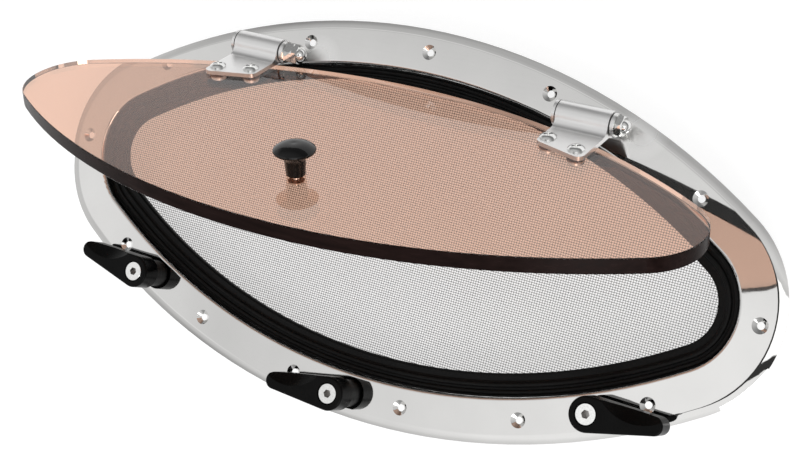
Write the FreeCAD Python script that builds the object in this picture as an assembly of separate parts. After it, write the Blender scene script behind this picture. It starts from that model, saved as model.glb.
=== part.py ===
import FreeCAD, Part
import math
import os

V = FreeCAD.Vector
os.makedirs("parts", exist_ok=True)

# Opening porthole, millimetres.  The flange lies flat: its back face, which beds on
# the hull, is z = 0 and faces down.  +X runs along the long axis of the oval, the
# hinges are on the +Y side and the latches on the -Y side.  Sections of the rings are
# drawn as (inset, height): inset is measured inwards from the outer edge of the flange.

# ---- oval outline -------------------------------------------------------------
HALF_LENGTH = 250.0
HALF_WIDTH = 120.4
END_RADIUS = 66.0

# ---- flange, collar and seal seat ---------------------------------------------
FLANGE_TOP = 2.3
RIM_HEIGHT = 0.5
RIM_CROWN = 1.53
RIM_WIDTH = 5.6
RIM_BLEND = 0.9
RIM_BLEND_DROP = 0.1
OPENING_INSET = 26.8
LIP_RADIUS = 1.8
COLLAR_THICKNESS = 2.0
COLLAR_DEPTH = 25.0
SEAT_TOP = -7.0
SEAT_THICKNESS = 2.0
SEAT_INSET = 36.0
WELD_GAP = 0.02
REBATE_DEPTH = 0.3
REBATE_MARGIN = 0.5

# ---- hull screw holes in the flange -------------------------------------------
END_HOLE_X = 236.5
CORNER_HOLE = (187.0, 58.8)
UPPER_HOLE = (83.8, 97.5)
TOP_HOLE_Y = 106.5
LOWER_OUTER_HOLE = (114.5, -89.3)
LOWER_INNER_HOLE = (38.8, -104.3)
SCREW_HOLE_RADIUS = 2.15
COUNTERSINK_RADIUS = 4.6
COUNTERSINK_DEPTH = 1.9

# ---- seal and insect screen ---------------------------------------------------
SEAL_OUTER = 27.0
SEAL_INNER = 39.6
SEAL_RIBS = (29.7, 34.0)
RIB_TOP = -3.5
RIB_HALF_WIDTH = 1.6
RIB_VALLEY = -5.2
SEAL_LIP_TOP = -5.8
SEAL_LIP_START = 36.6
SCREEN_RING_OUTER = 36.15
SCREEN_RING_INNER = 40.9
SCREEN_TOP = -9.2
SCREEN_THICKNESS = 0.3
SCREEN_EDGE = 37.5

# ---- pane, closed position ----------------------------------------------------
PANE_INSET = 28.7
PANE_TOP = 6.3
PANE_THICKNESS = 9.0
PANE_EDGE_ROUND = 0.5
PANE_HOLE_GAP = 0.2
PANE_OPEN_ANGLE = 60.0

# ---- hinges -------------------------------------------------------------------
HINGE_X = 113.0
HINGE_SHIFT = 1.2
HINGE_Y = 87.5
HINGE_Z = 12.4
BARREL_RADIUS = 7.7
BARREL_LENGTH = 32.8
BOLT_RADIUS = 3.0
RUNNING_GAP = 0.05
EAR_GAP = 0.6
EAR_THICKNESS = 1.8
EAR_RADII = (7.7, 6.8)
EAR_FOOT_WIDTH = 9.0
LEAF_THICKNESS = 2.5
LEAF_CORNER_RADIUS = 4.0
LEAF_NECK_RADIUS = 6.0
LEAF_INNER_CORNER = (97.0, 55.8)
LEAF_OUTER_CORNER = (129.4, 46.2)
LEAF_SCREWS = ((102.8, 62.4), (123.2, 56.0))

# ---- fasteners ----------------------------------------------------------------
CROWN_FLAT = 0.6
HINGE_NUT_RADIUS = 6.6
HINGE_NUT_LENGTH = 4.0
HINGE_DOME_RADIUS = 4.1
HINGE_DOME_LENGTH = 3.8
LOCK_NUT_LENGTH = 6.0
FRICTION_WASHER = 0.6
NUT_CHAMFER = 0.7
NUT_SHOULDER = 1.2
BOLT_HEAD_RADIUS = 4.6
BOLT_HEAD_HEIGHT = 1.8
THREAD_GAP = 0.02
BORE_SPARE = 0.2
SHANK_GAP = 0.1
LEAF_SCREW_RADIUS = 2.5
LEAF_HEAD_RADIUS = 5.0
LEAF_HEAD_HEIGHT = 2.2
CROSS_WIDTH = 1.2
CROSS_LENGTH = 5.4
CROSS_DEPTH = 1.5
SCREW_TURN = 35.0
LEAF_NUT_RADIUS = 4.8
LEAF_NUT_THICKNESS = 2.0
LEAF_NUT_CHAMFER = 0.5
LEAF_NUT_WEB = 0.4
LEAF_WASHER = 0.6
LEAF_WASHER_RADIUS = 5.1

# ---- pull knob ----------------------------------------------------------------
KNOB_X = 2.7
KNOB_Y = -39.6
KNOB_HEIGHT = 18.8
KNOB_RADIUS = 11.7
KNOB_FOOT_RADIUS = 5.4
KNOB_NECK_RADIUS = 6.0
KNOB_SCREW_RADIUS = 2.0
KNOB_SCREW_DEPTH = 11.0
KNOB_HEAD_RADIUS = 4.0
KNOB_HEAD_HEIGHT = 2.2
KNOB_WASHER_RADIUS = 4.6

# ---- latches ------------------------------------------------------------------
# name: (pivot x, pivot y, side the arm points to, tilt of the arm about the pivot)
LATCHES = {
    "left": (-162.1, -72.0, -1, -7.5),
    "middle": (-0.8, -106.8, -1, 4.4),
    "right": (160.4, -71.4, 1, 7.0),
}
LEVER_TOP = 22.3
LEVER_BOTTOM = 9.25
LEVER_HUB_RADIUS = 10.3
LEVER_TIP_RADIUS = 5.3
LEVER_LENGTH = 39.3
LEVER_ROUND = 1.4
HEEL_BOTTOM = 6.7
HEEL_START = 11.5
HEEL_END = 28.0
HEEL_STEP = 0.6
HEEL_ROUND = 2.0
SCOOP_RADIUS = 43.0
SCOOP_CENTRE = (29.7, 27.7, 54.4)
POST_RADIUS = 5.0
POST_TOP = 19.2
SPACER_RADIUS = 8.6
SPACER_TOP = 8.9
CAP_HEAD_RADIUS = 6.3
CAP_HEAD_HEIGHT = 2.7
CAP_HEAD_CHAMFER = 0.4
CAP_RECESS_GAP = 0.4
CAP_SCREW_RADIUS = 3.0
CAP_SCREW_LENGTH = 10.0
HEX_SOCKET = 4.5
HEX_SOCKET_DEPTH = 3.6


# ---- geometry helpers ---------------------------------------------------------
def side_arc():
    """Radius of the long arcs and the distance of their centres from the X axis."""
    spread = HALF_LENGTH - END_RADIUS
    radius = (spread**2 + HALF_WIDTH**2 - END_RADIUS**2) / (2 * (HALF_WIDTH - END_RADIUS))
    return radius, radius - HALF_WIDTH


def oval_arcs():
    """The four arcs of the outline as (centre, radius, start angle, sweep)."""
    radius, drop = side_arc()
    spread = HALF_LENGTH - END_RADIUS
    joint = math.degrees(math.atan2(drop, spread))
    side_sweep = 180 - 2 * joint
    return (
        (V(spread, 0, 0), END_RADIUS, -joint, 2 * joint),
        (V(0, -drop, 0), radius, joint, side_sweep),
        (V(-spread, 0, 0), END_RADIUS, 180 - joint, 2 * joint),
        (V(0, drop, 0), radius, 180 + joint, side_sweep),
    )


def oval_ring(section):
    """Ring whose section is a closed list of (inset, height), or (inset, height, inset, height)
    for an arc through the first point to the second one."""
    ring = None
    for centre, radius, start, sweep in oval_arcs():
        edges = []
        here = section[-1][-2:]
        for item in section:
            a = V(radius - here[0], 0, here[1])
            b = V(radius - item[-2], 0, item[-1])
            if len(item) == 4:
                edges.append(Part.Arc(a, V(radius - item[0], 0, item[1]), b).toShape())
            else:
                edges.append(Part.makeLine(a, b))
            here = item[-2:]
        face = Part.Face(Part.Wire(edges))
        face.rotate(V(0, 0, 0), V(0, 0, 1), start)
        sector = face.revolve(V(0, 0, 0), V(0, 0, 1), sweep)
        sector.translate(centre)
        ring = sector if ring is None else ring.fuse(sector)
    return ring.removeSplitter()


def oval_plate(inset, bottom, top):
    """Solid oval plate between two heights."""
    edges = []
    for centre, radius, start, sweep in oval_arcs():
        circle = Part.Circle(centre + V(0, 0, bottom), V(0, 0, 1), radius - inset)
        edges.append(Part.Arc(circle, math.radians(start), math.radians(start + sweep)).toShape())
    return Part.Face(Part.Wire(Part.__sortEdges__(edges))).extrude(V(0, 0, top - bottom))


def cylinder(radius, low, high, x=0.0, y=0.0):
    return Part.makeCylinder(radius, high - low, V(x, y, low))


def cylinder_x(radius, start, end):
    """Cylinder along the hinge axis between two X positions."""
    return Part.makeCylinder(radius, end - start, V(start, HINGE_Y, HINGE_Z), V(1, 0, 0))


def turned(points):
    """Solid of revolution about Z from a closed (radius, height) outline; arcs as in oval_ring."""
    edges = []
    here = points[-1][-2:]
    for item in points:
        a = V(here[0], 0, here[1])
        b = V(item[-2], 0, item[-1])
        if len(item) == 4:
            edges.append(Part.Arc(a, V(item[0], 0, item[1]), b).toShape())
        else:
            edges.append(Part.makeLine(a, b))
        here = item[-2:]
    return Part.Face(Part.Wire(edges)).revolve(V(0, 0, 0), V(0, 0, 1), 360)


def hexagon(across_corners, low, high):
    """Hexagonal prism about Z."""
    corners = []
    for k in range(7):
        angle = math.radians(60 * k)
        corners.append(V(across_corners * math.cos(angle), across_corners * math.sin(angle), low))
    return Part.Face(Part.makePolygon(corners)).extrude(V(0, 0, high - low))


def along_hinge(shape, x):
    """Turn a part drawn about +Z so that it points along +X at the hinge axis."""
    shape.rotate(V(0, 0, 0), V(0, 1, 0), 90)
    shape.translate(V(x, HINGE_Y, HINGE_Z))
    return shape


def opened(shape):
    """Swing a part of the closed pane up to its open position."""
    shape.rotate(V(0, HINGE_Y, HINGE_Z), V(1, 0, 0), -PANE_OPEN_ANGLE)
    return shape


def save(name, shape):
    shape.exportStep("parts/" + name + ".step")


# ---- frame: flange, collar and seal seat, welded together ---------------------
def hull_holes():
    """Centres of the thirteen hull screw holes."""
    holes = [(0.0, TOP_HOLE_Y)]
    for side in (-1, 1):
        holes.append((side * END_HOLE_X, 0.0))
        for x, y in (CORNER_HOLE, UPPER_HOLE, LOWER_OUTER_HOLE, LOWER_INNER_HOLE):
            holes.append((side * x, y))
        holes.append((side * CORNER_HOLE[0], -CORNER_HOLE[1]))
    return holes


def screw_hole(x, y):
    """Cutting tool for one countersunk hole."""
    drill = cylinder(SCREW_HOLE_RADIUS, -1.0, FLANGE_TOP + 1.0, x, y)
    sink = Part.makeCone(
        SCREW_HOLE_RADIUS, COUNTERSINK_RADIUS, COUNTERSINK_DEPTH, V(x, y, FLANGE_TOP - COUNTERSINK_DEPTH)
    )
    mouth = cylinder(COUNTERSINK_RADIUS, FLANGE_TOP, FLANGE_TOP + 1.0, x, y)
    return drill.fuse([sink, mouth])


def flange():
    """Flat ring with a crowned rim, a rounded inner edge, a rebate for the collar and screw holes."""
    lip = LIP_RADIUS * (1 - math.sqrt(0.5))
    crown_end = RIM_WIDTH - RIM_BLEND
    rebate = OPENING_INSET - COLLAR_THICKNESS - REBATE_MARGIN
    section = [
        (0.0, 0.0),
        (0.0, RIM_HEIGHT),
        (crown_end / 2, RIM_CROWN, crown_end, FLANGE_TOP - RIM_BLEND_DROP),
        (RIM_WIDTH - RIM_BLEND / 2, FLANGE_TOP - RIM_BLEND_DROP / 4, RIM_WIDTH, FLANGE_TOP),
        (OPENING_INSET - LIP_RADIUS, FLANGE_TOP),
        (OPENING_INSET - lip, FLANGE_TOP - lip, OPENING_INSET, FLANGE_TOP - LIP_RADIUS),
        (OPENING_INSET, REBATE_DEPTH),
        (rebate, REBATE_DEPTH),
        (rebate, 0.0),
    ]
    tools = [screw_hole(x, y) for x, y in hull_holes()]
    return oval_ring(section).cut(tools)


def collar_half(side):
    """Half of the oval tube welded into the flange's rebate, which passes through the hull.

    The tube is bent from two strips, butt-welded at both ends of the oval.
    """
    outer = OPENING_INSET - COLLAR_THICKNESS
    tube = oval_ring([
        (outer, -COLLAR_DEPTH),
        (outer, REBATE_DEPTH),
        (OPENING_INSET, REBATE_DEPTH),
        (OPENING_INSET, -COLLAR_DEPTH),
    ])
    low = 0.0 if side > 0 else -HALF_WIDTH
    half = Part.makeBox(
        2 * HALF_LENGTH, HALF_WIDTH, COLLAR_DEPTH + FLANGE_TOP, V(-HALF_LENGTH, low, -COLLAR_DEPTH)
    )
    return tube.common(half)


def seal_seat():
    """Flat ring welded inside the collar, on which the seal lies."""
    outer = OPENING_INSET + WELD_GAP
    low = SEAT_TOP - SEAT_THICKNESS
    return oval_ring([(outer, low), (outer, SEAT_TOP), (SEAT_INSET, SEAT_TOP), (SEAT_INSET, low)])


# ---- seal and screen ----------------------------------------------------------
def seal():
    """Rubber seal with two pressing ribs and a thin inner lip."""
    section = [(SEAL_OUTER, SEAT_TOP), (SEAL_OUTER, RIB_VALLEY)]
    for rib in SEAL_RIBS:
        section.append((rib - RIB_HALF_WIDTH, RIB_VALLEY))
        section.append((rib, RIB_TOP, rib + RIB_HALF_WIDTH, RIB_VALLEY))
    section.append((SEAL_LIP_START, SEAL_LIP_TOP))
    section.append((SEAL_INNER, SEAL_LIP_TOP))
    section.append((SEAL_INNER, SEAT_TOP))
    return oval_ring(section)


def screen_ring():
    """Plastic hoop that carries the insect screen inside the seal seat."""
    return oval_ring([
        (SCREEN_RING_OUTER, SCREEN_TOP),
        (SCREEN_RING_OUTER, SEAT_TOP),
        (SCREEN_RING_INNER, SEAT_TOP),
        (SCREEN_RING_INNER, SCREEN_TOP),
    ])


def insect_screen():
    return oval_plate(SCREEN_EDGE, SCREEN_TOP - SCREEN_THICKNESS, SCREEN_TOP)


# ---- pane and knob ------------------------------------------------------------
def pane():
    """Acrylic pane, drilled for the hinge leaves and the knob."""
    bottom = PANE_TOP - PANE_THICKNESS
    plate = oval_plate(PANE_INSET, bottom, PANE_TOP)
    rims = [e for e in plate.Edges if abs(e.BoundBox.ZMax - e.BoundBox.ZMin) < 1e-6]
    plate = plate.makeFillet(PANE_EDGE_ROUND, rims)
    tools = [cylinder(KNOB_SCREW_RADIUS + PANE_HOLE_GAP, bottom - 1, PANE_TOP + 1, KNOB_X, KNOB_Y)]
    for side in (-1, 1):
        for x, y in LEAF_SCREWS:
            hole = cylinder(LEAF_SCREW_RADIUS + PANE_HOLE_GAP, bottom - 1, PANE_TOP + 1, side * x, y)
            tools.append(hole)
    return opened(plate.cut(tools))


def knob():
    """Mushroom pull knob with a blind threaded hole in its foot."""
    neck = KNOB_HEIGHT * 0.62
    brim = KNOB_HEIGHT * 0.79
    bore = KNOB_SCREW_RADIUS + THREAD_GAP
    body = turned([
        (0.0, KNOB_SCREW_DEPTH),
        (bore, KNOB_SCREW_DEPTH),
        (bore, 0.0),
        (KNOB_FOOT_RADIUS - 0.4, 0.0),
        (KNOB_FOOT_RADIUS, 0.4),
        (KNOB_NECK_RADIUS, neck - 2.5),
        (KNOB_NECK_RADIUS + 1.2, neck - 0.3, KNOB_RADIUS - 1.4, neck + 1.6),
        (KNOB_RADIUS, brim - 0.8, KNOB_RADIUS - 0.6, brim + 1.0),
        (KNOB_RADIUS * 0.6, KNOB_HEIGHT - 0.7, CROWN_FLAT, KNOB_HEIGHT),
        (0.0, KNOB_HEIGHT),
    ])
    body.translate(V(KNOB_X, KNOB_Y, PANE_TOP))
    return opened(body)


def knob_screw():
    """Pan-head screw that enters the knob from below the pane."""
    under = PANE_TOP - PANE_THICKNESS - LEAF_WASHER
    tip = PANE_TOP + KNOB_SCREW_DEPTH - 1.5
    screw = turned([
        (0.0, tip),
        (KNOB_SCREW_RADIUS, tip),
        (KNOB_SCREW_RADIUS, under),
        (KNOB_HEAD_RADIUS, under),
        (KNOB_HEAD_RADIUS, under - KNOB_HEAD_HEIGHT / 3),
        (KNOB_HEAD_RADIUS * 0.7, under - KNOB_HEAD_HEIGHT * 0.8, CROWN_FLAT, under - KNOB_HEAD_HEIGHT),
        (0.0, under - KNOB_HEAD_HEIGHT),
    ])
    screw.translate(V(KNOB_X, KNOB_Y, 0))
    return opened(screw)


def knob_washer():
    bottom = PANE_TOP - PANE_THICKNESS
    disc = cylinder(KNOB_WASHER_RADIUS, bottom - LEAF_WASHER, bottom, KNOB_X, KNOB_Y)
    hole = cylinder(KNOB_SCREW_RADIUS + SHANK_GAP, bottom - 2, bottom + 1, KNOB_X, KNOB_Y)
    return opened(disc.cut(hole))


# ---- hinges -------------------------------------------------------------------
def hinge_centre(side):
    """X of the middle of a hinge barrel."""
    return side * HINGE_X + HINGE_SHIFT


def bracket(side):
    """Two ears welded to the flange, the larger one at the bolt head, the smaller one at the nut."""
    ears = []
    starts = (hinge_centre(side) - hinge_span(), hinge_centre(side) + hinge_span() - EAR_THICKNESS)
    for start, radius in zip(starts, EAR_RADII):
        foot = Part.makeBox(
            EAR_THICKNESS, EAR_FOOT_WIDTH, HINGE_Z - FLANGE_TOP,
            V(start, HINGE_Y - EAR_FOOT_WIDTH / 2, FLANGE_TOP)
        )
        ear = foot.fuse(cylinder_x(radius, start, start + EAR_THICKNESS)).removeSplitter()
        ears.append(ear.cut(cylinder_x(BOLT_RADIUS, start - 1, start + EAR_THICKNESS + 1)))
    return Part.makeCompound(ears)


def leaf_neck(start, end):
    """Hollow-curved web between the top of the leaf and the barrel."""
    top = PANE_TOP + LEAF_THICKNESS
    centre = V(start, 0, top + LEAF_NECK_RADIUS)
    reach = BARREL_RADIUS + LEAF_NECK_RADIUS
    centre.y = HINGE_Y - math.sqrt(reach**2 - (centre.z - HINGE_Z) ** 2)
    axis = V(start, HINGE_Y, HINGE_Z)
    on_leaf = V(start, centre.y, top)
    on_barrel = axis + (centre - axis) * (BARREL_RADIUS / reach)
    middle = centre + ((on_leaf + on_barrel) * 0.5 - centre).normalize() * LEAF_NECK_RADIUS
    edges = [
        Part.Arc(on_leaf, middle, on_barrel).toShape(),
        Part.makeLine(on_barrel, axis),
        Part.makeLine(axis, V(start, HINGE_Y, top)),
        Part.makeLine(V(start, HINGE_Y, top), on_leaf),
    ]
    return Part.Face(Part.Wire(edges)).extrude(V(end - start, 0, 0))


def leaf(side):
    """Leaf on the pane that sweeps up into the hinge barrel along its back edge."""
    inner, outer = LEAF_INNER_CORNER, LEAF_OUTER_CORNER
    xs = sorted(side * x + HINGE_SHIFT for x in (inner[0], outer[0]))
    back = HINGE_Y - 1.5
    corners = [(inner[0], back), inner, outer, (outer[0], back), (inner[0], back)]
    outline = Part.makePolygon([V(side * x + HINGE_SHIFT, y, PANE_TOP) for x, y in corners])
    plate = Part.Face(outline).extrude(V(0, 0, LEAF_THICKNESS))
    front = []
    for edge in plate.Edges:
        box = edge.BoundBox
        if box.ZMax - box.ZMin > LEAF_THICKNESS / 2 and box.YMax < HINGE_Y - 10:
            front.append(edge)
    plate = plate.makeFillet(LEAF_CORNER_RADIUS, front)
    middle = hinge_centre(side)
    barrel = cylinder_x(BARREL_RADIUS, middle - BARREL_LENGTH / 2, middle + BARREL_LENGTH / 2)
    whole = plate.fuse([barrel, leaf_neck(*xs)]).removeSplitter()
    tools = [cylinder_x(BOLT_RADIUS + RUNNING_GAP, middle - BARREL_LENGTH, middle + BARREL_LENGTH)]
    for x, y in LEAF_SCREWS:
        tools.append(cylinder(LEAF_SCREW_RADIUS + SHANK_GAP, 0, HINGE_Z + BARREL_RADIUS, side * x, y))
    return opened(whole.cut(tools))


def hinge_span():
    """Half length of the bracket over its ears."""
    return BARREL_LENGTH / 2 + EAR_GAP + EAR_THICKNESS


def nut_start(side):
    """X of the face on which the domed nut bears; the left hinge has a lock nut before it."""
    start = hinge_centre(side) + hinge_span() + FRICTION_WASHER
    return start + LOCK_NUT_LENGTH if side < 0 else start


def hinge_bolt(side):
    """Bolt through ears and barrel with a low domed head on its -X end."""
    start = hinge_centre(side) - hinge_span()
    end = nut_start(side) + HINGE_NUT_LENGTH - start
    bolt = turned([
        (0.0, end),
        (BOLT_RADIUS, end),
        (BOLT_RADIUS, 0.0),
        (BOLT_HEAD_RADIUS, 0.0),
        (BOLT_HEAD_RADIUS, -BOLT_HEAD_HEIGHT / 3),
        (BOLT_HEAD_RADIUS * 0.7, -BOLT_HEAD_HEIGHT * 0.8, CROWN_FLAT, -BOLT_HEAD_HEIGHT),
        (0.0, -BOLT_HEAD_HEIGHT),
    ])
    return along_hinge(bolt, start)


def friction_washer(side):
    disc = cylinder(HINGE_NUT_RADIUS, 0, FRICTION_WASHER)
    disc = disc.cut(cylinder(BOLT_RADIUS + THREAD_GAP, -1, FRICTION_WASHER + 1))
    return along_hinge(disc, hinge_centre(side) + hinge_span())


def lock_nut():
    """Hexagonal nut of the left hinge, inside its domed nut."""
    body = hexagon(HINGE_NUT_RADIUS, 0, LOCK_NUT_LENGTH)
    body = body.common(turned([
        (0.0, 0.0),
        (HINGE_NUT_RADIUS - NUT_CHAMFER, 0.0),
        (HINGE_NUT_RADIUS, NUT_CHAMFER),
        (HINGE_NUT_RADIUS, LOCK_NUT_LENGTH - NUT_CHAMFER),
        (HINGE_NUT_RADIUS - NUT_CHAMFER, LOCK_NUT_LENGTH),
        (0.0, LOCK_NUT_LENGTH),
    ]))
    body = body.cut(cylinder(BOLT_RADIUS + THREAD_GAP, -1, LOCK_NUT_LENGTH + 1))
    return along_hinge(body, nut_start(-1) - LOCK_NUT_LENGTH)


def domed_nut(side):
    """Domed nut that closes the threaded end of the hinge bolt."""
    hex_part = hexagon(HINGE_NUT_RADIUS, 0, HINGE_NUT_LENGTH).common(turned([
        (0.0, 0.0),
        (HINGE_NUT_RADIUS - NUT_CHAMFER, 0.0),
        (HINGE_NUT_RADIUS, NUT_CHAMFER),
        (HINGE_NUT_RADIUS, HINGE_NUT_LENGTH - NUT_CHAMFER),
        (HINGE_NUT_RADIUS - NUT_SHOULDER, HINGE_NUT_LENGTH),
        (0.0, HINGE_NUT_LENGTH),
    ]))
    top = HINGE_NUT_LENGTH + HINGE_DOME_LENGTH
    dome = turned([
        (0.0, 0.0),
        (HINGE_DOME_RADIUS, 0.0),
        (HINGE_DOME_RADIUS, HINGE_NUT_LENGTH),
        (HINGE_DOME_RADIUS * 0.75, top - HINGE_DOME_LENGTH * 0.36, CROWN_FLAT, top),
        (0.0, top),
    ])
    body = hex_part.fuse(dome).cut(cylinder(BOLT_RADIUS + THREAD_GAP, -1, HINGE_NUT_LENGTH + BORE_SPARE))
    return along_hinge(body.removeSplitter(), nut_start(side))


def leaf_places():
    return [(side * x, y) for side in (-1, 1) for x, y in LEAF_SCREWS]


def leaf_screws():
    """Four cross-recessed pan-head screws through the leaves and the pane."""
    seat = PANE_TOP + LEAF_THICKNESS
    low = PANE_TOP - PANE_THICKNESS - LEAF_WASHER - LEAF_NUT_THICKNESS + LEAF_NUT_WEB
    screws = []
    for x, y in leaf_places():
        head = turned([
            (0.0, seat),
            (LEAF_HEAD_RADIUS, seat),
            (LEAF_HEAD_RADIUS, seat + 0.7),
            (LEAF_HEAD_RADIUS * 0.7, seat + LEAF_HEAD_HEIGHT - 0.4, CROWN_FLAT, seat + LEAF_HEAD_HEIGHT),
            (0.0, seat + LEAF_HEAD_HEIGHT),
        ])
        floor = seat + LEAF_HEAD_HEIGHT - CROSS_DEPTH
        slot = Part.makeBox(
            CROSS_WIDTH, CROSS_LENGTH, CROSS_DEPTH + 1, V(-CROSS_WIDTH / 2, -CROSS_LENGTH / 2, floor)
        )
        for turn in (SCREW_TURN, SCREW_TURN + 90):
            arm = slot.copy()
            arm.rotate(V(0, 0, 0), V(0, 0, 1), turn)
            head = head.cut(arm)
        head.translate(V(x, y, 0))
        shank = cylinder(LEAF_SCREW_RADIUS, low, seat + 0.5, x, y)
        screws.append(opened(head.fuse(shank).removeSplitter()))
    return Part.makeCompound(screws)


def leaf_washers():
    bottom = PANE_TOP - PANE_THICKNESS
    washers = []
    for x, y in leaf_places():
        disc = cylinder(LEAF_WASHER_RADIUS, bottom - LEAF_WASHER, bottom, x, y)
        hole = cylinder(LEAF_SCREW_RADIUS + SHANK_GAP, bottom - 2, bottom + 1, x, y)
        washers.append(opened(disc.cut(hole)))
    return Part.makeCompound(washers)


def leaf_nuts():
    """Round cap nuts below the pane."""
    top = PANE_TOP - PANE_THICKNESS - LEAF_WASHER
    low = top - LEAF_NUT_THICKNESS
    nuts = []
    for x, y in leaf_places():
        cap = turned([
            (0.0, top),
            (LEAF_NUT_RADIUS, top),
            (LEAF_NUT_RADIUS, low + LEAF_NUT_CHAMFER),
            (LEAF_NUT_RADIUS - LEAF_NUT_CHAMFER, low),
            (0.0, low),
        ])
        cap = cap.cut(cylinder(LEAF_SCREW_RADIUS + THREAD_GAP, low + LEAF_NUT_WEB - 0.05, top + 1))
        cap.translate(V(x, y, 0))
        nuts.append(opened(cap))
    return Part.makeCompound(nuts)


# ---- latches ------------------------------------------------------------------
def latch_post(x, y):
    """Threaded post welded to the flange."""
    post = cylinder(POST_RADIUS, FLANGE_TOP, POST_TOP, x, y)
    tap = cylinder(CAP_SCREW_RADIUS + THREAD_GAP, POST_TOP - CAP_SCREW_LENGTH - 1, POST_TOP + 1, x, y)
    return post.cut(tap)


def latch_spacer(x, y):
    """Collar round the post that carries the lever."""
    ring = cylinder(SPACER_RADIUS, FLANGE_TOP, SPACER_TOP, x, y)
    return ring.cut(cylinder(POST_RADIUS + THREAD_GAP, 0, SPACER_TOP + 1, x, y))


def latch_screw(x, y):
    """Hexagon-socket screw with a wide flat head on top of the post."""
    top = POST_TOP + CAP_HEAD_HEIGHT
    head = turned([
        (0.0, POST_TOP),
        (CAP_HEAD_RADIUS, POST_TOP),
        (CAP_HEAD_RADIUS, top - CAP_HEAD_CHAMFER),
        (CAP_HEAD_RADIUS - CAP_HEAD_CHAMFER, top),
        (0.0, top),
    ])
    shank = cylinder(CAP_SCREW_RADIUS, POST_TOP - CAP_SCREW_LENGTH, POST_TOP)
    screw = head.fuse(shank).removeSplitter()
    screw = screw.cut(hexagon(HEX_SOCKET / math.sqrt(3), top - HEX_SOCKET_DEPTH, top + 1))
    screw.translate(V(x, y, 0))
    return screw


def lever_outline(low, high, shrink=0.0):
    """Prism round the hub circle, the tip circle and their common tangents."""
    hub = LEVER_HUB_RADIUS - shrink
    tip = LEVER_TIP_RADIUS - shrink
    lean = math.acos((hub - tip) / LEVER_LENGTH)
    unit = V(math.cos(lean), math.sin(lean), 0)
    flip = V(unit.x, -unit.y, 0)
    end = V(LEVER_LENGTH, 0, 0)
    base = V(0, 0, low)
    edges = [
        Part.Arc(base + unit * hub, base + V(-hub, 0, 0), base + flip * hub).toShape(),
        Part.makeLine(base + flip * hub, base + end + flip * tip),
        Part.Arc(base + end + flip * tip, base + end + V(tip, 0, 0), base + end + unit * tip).toShape(),
        Part.makeLine(base + end + unit * tip, base + unit * hub),
    ]
    return Part.Face(Part.Wire(edges)).extrude(V(0, 0, high - low))


def latch_lever(x, y, side, tilt):
    """Lever with a thumb scoop, a bore for the post and a heel that bears on the pane."""
    body = lever_outline(LEVER_BOTTOM, LEVER_TOP)
    rims = [e for e in body.Edges if e.BoundBox.ZMin > LEVER_TOP - 0.01]
    body = body.makeFillet(LEVER_ROUND, rims)
    body = body.cut(Part.makeSphere(SCOOP_RADIUS, V(*SCOOP_CENTRE)))
    heel = lever_outline(HEEL_BOTTOM, LEVER_BOTTOM + 0.5, HEEL_STEP)
    width = 2 * LEVER_HUB_RADIUS
    stretch = Part.makeBox(HEEL_END - HEEL_START, width, LEVER_TOP, V(HEEL_START, -width / 2, HEEL_BOTTOM))
    heel = heel.common(stretch)
    uprights = []
    for edge in heel.Edges:
        box = edge.BoundBox
        if box.ZMax - box.ZMin > 2 and box.XMin > HEEL_END - 0.1:
            uprights.append(edge)
    heel = heel.makeFillet(HEEL_ROUND, uprights)
    body = body.fuse(heel).removeSplitter()
    bore = cylinder(POST_RADIUS + RUNNING_GAP, 0, LEVER_TOP + 1)
    recess = cylinder(CAP_HEAD_RADIUS + CAP_RECESS_GAP, POST_TOP - CAP_RECESS_GAP, LEVER_TOP + 1)
    body = body.cut([bore, recess])
    if side < 0:
        body = body.mirror(V(0, 0, 0), V(1, 0, 0))
    body.rotate(V(0, 0, 0), V(0, 0, 1), tilt)
    body.translate(V(x, y, 0))
    return body


# ---- all parts ----------------------------------------------------------------
save("flange", flange())
save("collar_hinge_side", collar_half(1))
save("collar_latch_side", collar_half(-1))
save("seal_seat", seal_seat())
save("seal", seal())
save("screen_ring", screen_ring())
save("insect_screen", insect_screen())
save("pane", pane())
save("knob", knob())
save("knob_screw", knob_screw())
save("knob_washer", knob_washer())
for word, side in (("left", -1), ("right", 1)):
    save("hinge_bracket_" + word, bracket(side))
    save("hinge_leaf_" + word, leaf(side))
    save("hinge_bolt_" + word, hinge_bolt(side))
    save("hinge_washer_" + word, friction_washer(side))
    save("hinge_nut_" + word, domed_nut(side))
save("hinge_lock_nut", lock_nut())
save("leaf_screws", leaf_screws())
save("leaf_washers", leaf_washers())
save("leaf_nuts", leaf_nuts())
for word, (x, y, side, tilt) in LATCHES.items():
    save("latch_post_" + word, latch_post(x, y))
    save("latch_spacer_" + word, latch_spacer(x, y))
    save("latch_lever_" + word, latch_lever(x, y, side, tilt))
    save("latch_screw_" + word, latch_screw(x, y))
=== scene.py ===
import math

import bpy
from mathutils import Matrix, Vector


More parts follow.
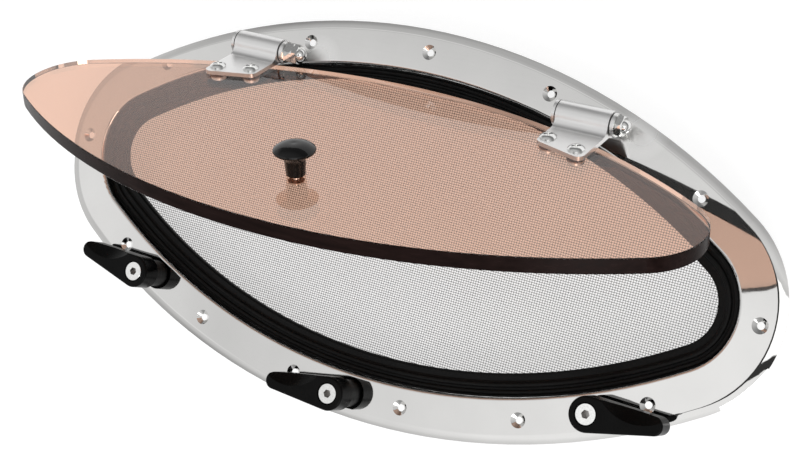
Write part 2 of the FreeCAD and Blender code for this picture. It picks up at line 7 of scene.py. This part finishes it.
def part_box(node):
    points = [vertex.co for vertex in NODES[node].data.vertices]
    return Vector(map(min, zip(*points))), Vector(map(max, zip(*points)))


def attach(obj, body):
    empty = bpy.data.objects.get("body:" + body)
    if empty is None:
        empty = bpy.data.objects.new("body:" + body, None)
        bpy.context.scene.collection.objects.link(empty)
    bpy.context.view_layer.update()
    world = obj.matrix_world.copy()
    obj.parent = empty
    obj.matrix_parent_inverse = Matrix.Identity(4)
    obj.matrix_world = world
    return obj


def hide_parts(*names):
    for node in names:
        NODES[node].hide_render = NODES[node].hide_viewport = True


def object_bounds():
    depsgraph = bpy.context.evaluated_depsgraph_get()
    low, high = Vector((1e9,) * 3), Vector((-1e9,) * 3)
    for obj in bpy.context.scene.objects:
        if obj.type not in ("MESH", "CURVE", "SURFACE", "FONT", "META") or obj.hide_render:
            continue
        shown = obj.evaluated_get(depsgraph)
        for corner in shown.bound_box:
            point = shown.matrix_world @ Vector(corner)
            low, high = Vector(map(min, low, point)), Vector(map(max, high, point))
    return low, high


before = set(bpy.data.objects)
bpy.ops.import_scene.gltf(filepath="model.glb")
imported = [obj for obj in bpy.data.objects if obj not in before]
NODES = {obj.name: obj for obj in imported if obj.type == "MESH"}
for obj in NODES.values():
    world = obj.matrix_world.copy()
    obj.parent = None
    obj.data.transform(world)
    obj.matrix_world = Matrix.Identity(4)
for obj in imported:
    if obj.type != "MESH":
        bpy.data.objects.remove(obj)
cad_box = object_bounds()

# Opening porthole, in metres and in the frame of the CAD model: the flange lies flat,
# +X along the long axis, the hinges on the +Y side, +Z out of the flange.

MM = 0.001

# ---- camera -------------------------------------------------------------------
CAMERA_AIM = Vector((0.0090, -0.0026, 0.0))
CAMERA_DISTANCE = 0.9575
CAMERA_AZIMUTH = math.radians(95.70)
CAMERA_ELEVATION = math.radians(61.69)
CAMERA_ROLL = math.radians(-81.07)
CAMERA_LENS = 71.22

# ---- floor --------------------------------------------------------------------
FLOOR_REACH = 6.0
FLOOR_GLOW = 0.74

# ---- light --------------------------------------------------------------------
# The sky's brightness is given as (part of the unit direction, brightness) stops, and its
# two windows as least and greatest X, then least and greatest Y of the direction.
WALLS_BY_Y = ((-0.75, 1.0), (0.0, 0.87), (0.75, 0.57))
WALLS_BY_Z = ((0.0, 0.42), (0.3, 0.42), (0.62, 1.0))
ROOF_BY_X = ((-0.62, 1.08), (-0.55, 0.88), (-0.30, 1.2))
BACK_ROOF_BY_Y = ((0.04, 0.95), (0.14, 0.66), (0.3, 0.98), (0.6, 0.58))
LEFT_WALL_LIGHT = 0.80
SOFTBOX_WINDOW = (0.10, 0.60, -0.22, 0.20)
SOFTBOX_LIGHT = 1.7
FLAG_WINDOW = (-0.20, 0.62, -0.33, 0.12)
FLAG_LIGHT = 0.05
WINDOW_SOFTNESS = 0.01
LAMP_PLACE = (0.9, -0.9, 0.9)
LAMP_SIZE = 0.7
LAMP_POWER = 6.0

# ---- duller steel and painted light beside the hinge nuts ---------------------
SPOT_SHIFT = 7.0 * MM
SPOT_RADIUS = 17.0 * MM
DULL_ROUGHNESS = 0.30
# Lighter colour of the spots: painted light where the hinge nuts' reflection falls on the flange.
PAINTED_LIGHT_TONE = (0.80, 0.795, 0.785, 1.0)

# ---- outline of the flange ----------------------------------------------------
END_RADIUS = 66.0 * MM

# ---- pane ---------------------------------------------------------------------
TINT = (0.76, 0.30, 0.0, 1.0)
TINT_DENSITY = 86.0
EDGE_START = 150.0 * MM
EDGE_FLATNESS = 0.35
LEFT_TIP_LIMIT = -0.05

# ---- latch screws -------------------------------------------------------------
SOCKET_REACH = 2.7 * MM
SOCKET_FLOOR = 6.0 * MM
SOCKET_MOUTH = 0.1 * MM

# ---- insect screen ------------------------------------------------------------
PITCH_ALONG_X = 25.4 * MM / 16
PITCH_ALONG_Y = 25.4 * MM / 18
THREAD_RADIUS = 0.17 * MM


# ---- outline helpers ----------------------------------------------------------
def flange_half_size():
    low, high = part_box("flange")
    return (high.x - low.x) / 2, (high.y - low.y) / 2


class Oval:
    """The flange's four-arc outline, moved inwards by inset."""

    def __init__(self, inset):
        half_length, half_width = flange_half_size()
        self.spread = half_length - END_RADIUS
        rise = half_width - END_RADIUS
        side = (self.spread**2 + half_width**2 - END_RADIUS**2) / (2 * rise)
        self.drop = side - half_width
        self.end = END_RADIUS - inset
        self.side = side - inset
        self.joint = math.atan2(self.drop, self.spread)

    def half_width_at(self, x):
        """How far the outline reaches in Y at this X."""
        joint_x = self.side * math.cos(self.joint)
        if abs(x) < joint_x:
            return math.sqrt(self.side**2 - x * x) - self.drop
        return math.sqrt(max(self.end**2 - (abs(x) - self.spread) ** 2, 0.0))

    def half_length_at(self, y):
        """How far the outline reaches in X at this Y."""
        joint_y = self.side * math.sin(self.joint) - self.drop
        if abs(y) < joint_y:
            return self.spread + math.sqrt(self.end**2 - y * y)
        return math.sqrt(max(self.side**2 - (abs(y) + self.drop) ** 2, 0.0))


# ---- material helpers ---------------------------------------------------------
class Surface:
    """A Principled material and short ways to add procedural detail to it."""

    def __init__(self, name, **values):
        self.material = bpy.data.materials.new(name)
        self.material.use_nodes = True
        self.tree = self.material.node_tree
        self.shader = self.tree.nodes["Principled BSDF"]
        for key, value in values.items():
            self.shader.inputs[key.replace("_", " ")].default_value = value
        self.place = self.tree.nodes.new("ShaderNodeTexCoord").outputs["Object"]

    def node(self, kind, **settings):
        made = self.tree.nodes.new("ShaderNode" + kind)
        for key, value in settings.items():
            setattr(made, key, value)
        return made

    def link(self, output, node_input):
        self.tree.links.new(output, node_input)

    def stretched(self, scale):
        """Object position scaled by three factors."""
        mapping = self.node("Mapping")
        mapping.inputs["Scale"].default_value = scale
        self.link(self.place, mapping.inputs["Vector"])
        return mapping.outputs["Vector"]

    def noise(self, scale, detail=3.0, stretch=None):
        texture = self.node("TexNoise")
        texture.inputs["Scale"].default_value = scale
        texture.inputs["Detail"].default_value = detail
        self.link(self.stretched(stretch) if stretch else self.place, texture.inputs["Vector"])
        return texture.outputs["Fac"]

    def ranged(self, value, low, high, from_low=0.3, from_high=0.7):
        ramp = self.node("MapRange")
        ramp.inputs["From Min"].default_value = from_low
        ramp.inputs["From Max"].default_value = from_high
        ramp.inputs["To Min"].default_value = low
        ramp.inputs["To Max"].default_value = high
        self.link(value, ramp.inputs["Value"])
        return ramp.outputs["Result"]

    def mixed(self, value, dark, light):
        """Colour between two shades by a 0 to 1 value."""
        mix = self.node("Mix", data_type="RGBA")
        mix.inputs["A"].default_value = (*dark, 1.0)
        mix.inputs["B"].default_value = (*light, 1.0)
        self.link(value, mix.inputs["Factor"])
        return mix.outputs["Result"]

    def bump(self, height, depth):
        """Add relief of this depth in metres on top of what is there."""
        relief = self.node("Bump")
        relief.inputs["Strength"].default_value = 1.0
        relief.inputs["Distance"].default_value = depth
        previous = self.shader.inputs["Normal"].links
        if previous:
            self.link(previous[0].from_socket, relief.inputs["Normal"])
        self.link(height, relief.inputs["Height"])
        self.link(relief.outputs["Normal"], self.shader.inputs["Normal"])

    def to(self, output, name):
        self.link(output, self.shader.inputs[name])


def dull_and_painted_light_spots(s):
    """1 on the flange just beyond the hinge nuts, where its finish is made duller and its colour
    lighter as painted light over the nuts' reflection, else 0.
    """
    total = None
    for side in ("left", "right"):
        low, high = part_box("hinge_nut_" + side)
        centre = Vector(((low.x + high.x) / 2 + SPOT_SHIFT, (low.y + high.y) / 2, 0.0))
        offset = s.node("VectorMath", operation="SUBTRACT")
        offset.inputs[1].default_value = centre
        s.link(s.place, offset.inputs[0])
        length = s.node("VectorMath", operation="LENGTH")
        s.link(offset.outputs["Vector"], length.inputs[0])
        spot = s.ranged(length.outputs["Value"], 1.0, 0.0, SPOT_RADIUS * 0.35, SPOT_RADIUS)
        if total is None:
            total = spot
        else:
            adding = s.node("Math", operation="MAXIMUM")
            s.link(total, adding.inputs[0])
            s.link(spot, adding.inputs[1])
            total = adding.outputs[0]
    return total


def polished_steel(name, shade, low_rough, high_rough, wave, spots=False):
    """Stainless steel with faint haze, buffing marks and a gentle wave, at a given roughness; with
    spots, a duller patch beside the hinge nuts whose lighter colour is painted light.
    """
    s = Surface(name, Metallic=1.0)
    haze = s.noise(38.0, 4.0)
    tone = s.mixed(s.ranged(haze, 0.0, 1.0), [c * 0.96 for c in shade], shade)
    rough = s.ranged(haze, low_rough, high_rough)
    if spots:
        dull_and_lit = dull_and_painted_light_spots(s)
        dulled = s.node("Math", operation="MULTIPLY_ADD")
        s.link(dull_and_lit, dulled.inputs[0])
        dulled.inputs[1].default_value = DULL_ROUGHNESS
        s.link(rough, dulled.inputs[2])
        rough = dulled.outputs[0]
        # The spots' lighter colour is painted light over the hinge nuts' reflection.
        painted_light_mix = s.node("Mix", data_type="RGBA")
        s.link(dull_and_lit, painted_light_mix.inputs["Factor"])
        s.link(tone, painted_light_mix.inputs["A"])
        painted_light_mix.inputs["B"].default_value = PAINTED_LIGHT_TONE
        tone = painted_light_mix.outputs["Result"]
    s.to(tone, "Base Color")
    s.to(rough, "Roughness")
    s.bump(s.noise(9.0, 1.0), wave)
    s.bump(s.noise(420.0, 2.0, stretch=(0.08, 1.0, 1.0)), 0.000004)
    return s.material


def fastener_steel():
    """Bright steel with a fine grain of tool marks."""
    s = Surface("bright_fastener", Metallic=1.0)
    marks = s.noise(900.0, 3.0)
    s.to(s.mixed(s.ranged(marks, 0.0, 1.0), (0.68, 0.68, 0.67), (0.80, 0.80, 0.79)), "Base Color")
    s.to(s.ranged(marks, 0.03, 0.09), "Roughness")
    s.bump(marks, 0.00001)
    return s.material


def tinted_acrylic():
    """Clear acrylic whose bronze tint comes from absorption along the light's way."""
    s = Surface(
        "bronze_acrylic",
        Base_Color=(1.0, 1.0, 1.0, 1.0),
        Roughness=0.0,
        IOR=1.49,
        Transmission_Weight=1.0,
    )
    s.bump(s.noise(14.0, 1.0), 0.00004)
    inside = s.node("VolumeAbsorption")
    inside.inputs["Color"].default_value = TINT
    inside.inputs["Density"].default_value = TINT_DENSITY
    output = s.tree.nodes["Material Output"]
    s.link(inside.outputs["Volume"], output.inputs["Volume"])
    return s.material


def painted_shade_pane_edge():
    """Sawn edge of the tinted pane, shown opaque and nearly black: painted shade standing in for the
    light lost inside the clear slab.
    """
    s = Surface("pane_edge", Specular_IOR_Level=0.04)
    saw = s.noise(260.0, 3.0, stretch=(0.1, 1.0, 1.0))
    s.to(s.mixed(s.ranged(saw, 0.0, 1.0), (0.008, 0.004, 0.0035), (0.016, 0.008, 0.007)), "Base Color")
    s.to(s.ranged(saw, 0.18, 0.30), "Roughness")
    s.bump(saw, 0.00002)
    return s.material


def black_rubber():
    """Matt black rubber with a fine grain."""
    s = Surface("seal_rubber", Specular_IOR_Level=0.12)
    grain = s.noise(700.0, 4.0)
    s.to(s.mixed(s.ranged(grain, 0.0, 1.0), (0.002, 0.002, 0.002), (0.006, 0.006, 0.006)), "Base Color")
    s.to(s.ranged(s.noise(60.0, 2.0), 0.38, 0.52), "Roughness")
    s.bump(grain, 0.00004)
    return s.material


def black_plastic(name, low_rough, high_rough, gloss):
    """Moulded black nylon or acetal with a fine spark-eroded grain."""
    s = Surface(name, Specular_IOR_Level=gloss)
    grain = s.noise(1500.0, 2.0)
    tone = s.noise(45.0, 2.0)
    s.to(s.mixed(s.ranged(tone, 0.0, 1.0), (0.002, 0.002, 0.002), (0.005, 0.005, 0.005)), "Base Color")
    s.to(s.ranged(tone, low_rough, high_rough), "Roughness")
    s.bump(grain, 0.00002)
    return s.material


def washer_nylon():
    """Pale nylon of the washers under the leaf screws and the knob."""
    s = Surface("washer_nylon", Roughness=0.5)
    tone = s.ranged(s.noise(300.0, 2.0), 0.0, 1.0)
    s.to(s.mixed(tone, (0.50, 0.43, 0.38), (0.66, 0.60, 0.55)), "Base Color")
    s.bump(s.noise(900.0, 2.0), 0.00001)
    return s.material


def screen_yarn():
    """Dark grey thread of the insect screen."""
    s = Surface("screen_yarn", Specular_IOR_Level=0.3)
    tone = s.ranged(s.noise(500.0, 2.0), 0.0, 1.0)
    s.to(s.mixed(tone, (0.045, 0.046, 0.048), (0.085, 0.087, 0.09)), "Base Color")
    s.to(s.ranged(s.noise(900.0, 2.0), 0.4, 0.6), "Roughness")
    return s.material


def floor_paper():
    """Plain pale paper that glows a little."""
    s = Surface("floor_paper", Roughness=0.9, Specular_IOR_Level=0.1)
    tone = s.ranged(s.noise(8.0, 2.0), 0.0, 1.0)
    s.to(s.mixed(tone, (0.39, 0.39, 0.39), (0.41, 0.41, 0.41)), "Base Color")
    s.shader.inputs["Emission Color"].default_value = (1.0, 1.0, 1.0, 1.0)
    s.shader.inputs["Emission Strength"].default_value = FLOOR_GLOW
    return s.material


# ---- insect screen ------------------------------------------------------------
def add_thread(verts, faces, path, radius, side):
    """Three-sided tube along a path that lies in a plane whose normal is side."""
    first = len(verts)
    for k, point in enumerate(path):
        before = path[max(k - 1, 0)]
        after = path[min(k + 1, len(path) - 1)]
        up = side.cross(after - before).normalized()
        for turn in range(3):
            angle = 2 * math.pi * turn / 3 + math.pi / 2
            verts.append(point + radius * (math.cos(angle) * side + math.sin(angle) * up))
    for k in range(len(path) - 1):
        a = first + 3 * k
        for turn in range(3):
            b = (turn + 1) % 3
            faces.append((a + turn, a + b, a + 3 + b, a + 3 + turn))
    last = first + 3 * (len(path) - 1)
    faces.append((first + 2, first + 1, first))
    faces.append((last, last + 1, last + 2))


def insect_screen(material):
    """Plain weave: straight threads along X, and threads along Y that go over and under them."""
    low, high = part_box("insect_screen")
    half_length = flange_half_size()[0]
    outline = Oval(half_length - (high.x - low.x) / 2)
    middle = (low.z + high.z) / 2
    verts, faces = [], []
    rows = int((high.y - low.y) / 2 / PITCH_ALONG_Y)
    for row in range(-rows, rows + 1):
        y = row * PITCH_ALONG_Y
        reach = outline.half_length_at(y) - THREAD_RADIUS
        path = [Vector((-reach, y, middle)), Vector((reach, y, middle))]
        add_thread(verts, faces, path, THREAD_RADIUS, Vector((0, 1, 0)))
    columns = int((high.x - low.x) / 2 / PITCH_ALONG_X)
    for column in range(-columns, columns + 1):
        x = column * PITCH_ALONG_X
        reach = int((outline.half_width_at(x) - THREAD_RADIUS) / PITCH_ALONG_Y)
        path = []
        for row in range(-reach, reach + 1):
            lift = THREAD_RADIUS * (1 if (row + column) % 2 else -1)
            path.append(Vector((x, row * PITCH_ALONG_Y, middle + lift)))
        if len(path) > 1:
            add_thread(verts, faces, path, THREAD_RADIUS * 0.9, Vector((1, 0, 0)))
    mesh = bpy.data.meshes.new("screen_weave")
    mesh.from_pydata(verts, [], faces)
    mesh.materials.append(material)
    piece = bpy.data.objects.new("screen_weave", mesh)
    bpy.context.scene.collection.objects.link(piece)
    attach(piece, "root")
    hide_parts("insect_screen")


# ---- pane ---------------------------------------------------------------------
def pane_with_painted_shade_edge(clear, edge):
    """Copy of the CAD pane whose sawn edge has its own opaque material of painted shade, but for the
    hinge side.
    """
    mesh = NODES["pane"].data.copy()
    mesh.materials.clear()
    mesh.materials.append(clear)
    # Second material: opaque near-black painted shade for the edge.
    mesh.materials.append(edge)
    face_normal = max(mesh.polygons, key=lambda polygon: polygon.area).normal.copy()
    to_hinge = Vector((1.0, 0.0, 0.0)).cross(face_normal)
    if to_hinge.z > 0:
        to_hinge.negate()
    for polygon in mesh.polygons:
        sideways = abs(polygon.normal.dot(face_normal)) < EDGE_FLATNESS
        on_rim = abs(polygon.center.x) > EDGE_START or polygon.normal.dot(to_hinge) < -EDGE_FLATNESS
        limit = EDGE_FLATNESS if polygon.center.x > 0 else LEFT_TIP_LIMIT
        if sideways and on_rim and polygon.normal.dot(to_hinge) < limit:
            polygon.material_index = 1
    piece = bpy.data.objects.new("pane_shown", mesh)
    bpy.context.scene.collection.objects.link(piece)
    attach(piece, "pane")
    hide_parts("pane")


# ---- latch screws -------------------------------------------------------------
def screw_with_shaded_socket(name, steel, grey):
    """Copy of a CAD latch screw whose hexagon socket has its own darker grey steel, painted shade of
    the recess.
    """
    mesh = NODES[name].data.copy()
    mesh.materials.clear()
    mesh.materials.append(steel)
    mesh.materials.append(grey)
    low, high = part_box(name)
    axis = (low + high) / 2
    bottom, mouth = low.z + SOCKET_FLOOR, high.z - SOCKET_MOUTH
    for polygon in mesh.polygons:
        away = (polygon.center - axis).to_2d().length
        if away < SOCKET_REACH and bottom < polygon.center.z < mouth:
            polygon.material_index = 1
    piece = bpy.data.objects.new(name + "_shown", mesh)
    bpy.context.scene.collection.objects.link(piece)
    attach(piece, "root")
    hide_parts(name)


# ---- carried-over CAD nodes ---------------------------------------------------
def dress(material, *starts):
    """Give a material to every CAD node whose name starts with one of these words.

    A later call takes the place of an earlier one for the nodes that both name.
    """
    for name, node in NODES.items():
        if name.startswith(starts):
            node.data.materials.clear()
            node.data.materials.append(material)


def dress_cad_nodes():
    dress(polished_steel("mirror_steel", (0.66, 0.655, 0.645), 0.025, 0.06, 0.00002, spots=True),
          "flange", "collar")
    dress(polished_steel("cast_steel", (0.78, 0.775, 0.77), 0.30, 0.38, 0.00003),
          "hinge_bracket", "hinge_leaf", "leaf_nuts")
    bright = fastener_steel()
    dress(bright, "hinge_bolt", "hinge_nut", "hinge_washer", "hinge_lock", "leaf_screws")
    satin = polished_steel("satin_steel", (0.8, 0.79, 0.78), 0.16, 0.22, 0.00001)
    dress(satin, "latch_post")
    # Darker grey steel in the hexagon sockets: painted shade of the recesses.
    grey = polished_steel("socket_painted_shade", (0.34, 0.33, 0.32), 0.25, 0.35, 0.00001)
    for place in ("left", "middle", "right"):
        screw_with_shaded_socket("latch_screw_" + place, bright, grey)
    dress(black_rubber(), "seal")
    dress(polished_steel("seat_steel", (0.6, 0.6, 0.59), 0.1, 0.2, 0.00002), "seal_seat")
    dress(black_plastic("hoop_plastic", 0.35, 0.5, 0.12), "screen_ring", "latch_spacer")
    dress(black_plastic("lever_plastic", 0.22, 0.32, 0.06), "latch_lever")
    dress(black_plastic("knob_plastic", 0.06, 0.12, 0.3), "knob")
    dress(bright, "knob_screw")
    dress(washer_nylon(), "knob_washer", "leaf_washers")
    pane_with_painted_shade_edge(tinted_acrylic(), painted_shade_pane_edge())


# ---- stage --------------------------------------------------------------------
def add_camera():
    """Camera at the angle that the porthole is meant to be seen from."""
    back = Vector((
        math.sin(CAMERA_AZIMUTH) * math.cos(CAMERA_ELEVATION),
        -math.cos(CAMERA_AZIMUTH) * math.cos(CAMERA_ELEVATION),
        math.sin(CAMERA_ELEVATION),
    ))
    level = Vector((math.cos(CAMERA_AZIMUTH), math.sin(CAMERA_AZIMUTH), 0.0))
    upright = back.cross(level)
    right = math.cos(CAMERA_ROLL) * level + math.sin(CAMERA_ROLL) * upright
    up = back.cross(right)
    camera = bpy.data.objects.new("camera", bpy.data.cameras.new("camera"))
    camera.data.lens = CAMERA_LENS
    camera.data.sensor_width = 36.0
    camera.data.clip_start = 0.01
    bpy.context.scene.collection.objects.link(camera)
    turn = Matrix((right, up, back)).transposed().to_4x4()
    camera.matrix_world = Matrix.Translation(CAMERA_AIM + back * CAMERA_DISTANCE) @ turn
    bpy.context.scene.camera = camera


def add_floor():
    """Plain square floor at the bottom of the collar."""
    height = cad_box[0].z
    signs = ((-1, -1), (1, -1), (1, 1), (-1, 1))
    corners = [(x * FLOOR_REACH, y * FLOOR_REACH, height) for x, y in signs]
    mesh = bpy.data.meshes.new("floor")
    mesh.from_pydata(corners, [], [(0, 1, 2, 3)])
    mesh.materials.append(floor_paper())
    floor = bpy.data.objects.new("floor", mesh)
    bpy.context.scene.collection.objects.link(floor)


class Sky:
    """Short ways to build the world's brightness from the direction it is seen in."""

    def __init__(self, name):
        world = bpy.data.worlds.new(name)
        bpy.context.scene.world = world
        world.use_nodes = True
        self.tree = world.node_tree
        split = self.tree.nodes.new("ShaderNodeSeparateXYZ")
        direction = self.tree.nodes.new("ShaderNodeTexCoord").outputs["Generated"]
        self.tree.links.new(direction, split.inputs["Vector"])
        self.x, self.y, self.z = split.outputs["X"], split.outputs["Y"], split.outputs["Z"]

    def put(self, value, node_input):
        """Set an input to a number or link it to another node's output."""
        if isinstance(value, (int, float)):
            node_input.default_value = value
        else:
            self.tree.links.new(value, node_input)

    def math(self, operation, a, b):
        node = self.tree.nodes.new("ShaderNodeMath")
        node.operation = operation
        self.put(a, node.inputs[0])
        self.put(b, node.inputs[1])
        return node.outputs[0]

    def ramp(self, value, *stops):
        """Piecewise-linear brightness from (value, brightness) stops."""
        first = stops[0]
        total = first[1]
        for last, here in zip(stops, stops[1:]):
            node = self.tree.nodes.new("ShaderNodeMapRange")
            self.put(value, node.inputs["Value"])
            node.inputs["From Min"].default_value = last[0]
            node.inputs["From Max"].default_value = here[0]
            node.inputs["To Min"].default_value = 0.0
            node.inputs["To Max"].default_value = here[1] - last[1]
            total = self.math("ADD", node.outputs["Result"], total)
        return total

    def blend(self, fraction, a, b):
        """a where fraction is 0, b where it is 1."""
        rest = self.math("SUBTRACT", 1.0, fraction)
        return self.math("ADD", self.math("MULTIPLY", a, rest), self.math("MULTIPLY", b, fraction))

    def window(self, ranges):
        """1 inside a rectangle of directions above the object, 0 outside."""
        inside = self.ramp(self.z, (0.45, 0.0), (0.5, 1.0))
        for axis, low, high in ((self.x, *ranges[:2]), (self.y, *ranges[2:])):
            rise = self.ramp(axis, (low - WINDOW_SOFTNESS, 0.0), (low, 1.0))
            fall = self.ramp(axis, (high, 1.0), (high + WINDOW_SOFTNESS, 0.0))
            inside = self.math("MULTIPLY", inside, self.math("MULTIPLY", rise, fall))
        return inside


def add_world():
    """Light tent, dim at the horizon, with a softbox overhead that a dark flag borders."""
    sky = Sky("light_tent")
    walls = sky.ramp(sky.y, *WALLS_BY_Y)
    walls = sky.math("MULTIPLY", walls, sky.ramp(sky.z, *WALLS_BY_Z))
    roof = sky.ramp(sky.x, *ROOF_BY_X)
    back_roof = sky.ramp(sky.y, *BACK_ROOF_BY_Y)
    roof = sky.blend(sky.ramp(sky.y, (-0.06, 0.0), (0.04, 1.0)), roof, back_roof)
    light = sky.blend(sky.ramp(sky.z, (0.62, 0.0), (0.75, 1.0)), walls, roof)
    light = sky.blend(sky.ramp(sky.x, (-0.85, 1.0), (-0.70, 0.0)), light, LEFT_WALL_LIGHT)
    light = sky.blend(sky.window(FLAG_WINDOW), light, FLAG_LIGHT)
    light = sky.blend(sky.window(SOFTBOX_WINDOW), light, SOFTBOX_LIGHT)
    background = sky.tree.nodes["Background"]
    sky.tree.links.new(light, background.inputs["Color"])


def add_lamp():
    """Square area light that points at the middle of the porthole."""
    light = bpy.data.lights.new("key_softbox", "AREA")
    light.size = LAMP_SIZE
    light.energy = LAMP_POWER
    lamp = bpy.data.objects.new("key_softbox", light)
    lamp.location = LAMP_PLACE
    lamp.rotation_euler = (CAMERA_AIM - Vector(LAMP_PLACE)).to_track_quat("-Z", "Y").to_euler()
    bpy.context.scene.collection.objects.link(lamp)


bpy.context.scene.view_settings.view_transform = "Standard"
add_camera()
add_floor()
add_world()
add_lamp()
dress_cad_nodes()
insect_screen(screen_yarn())
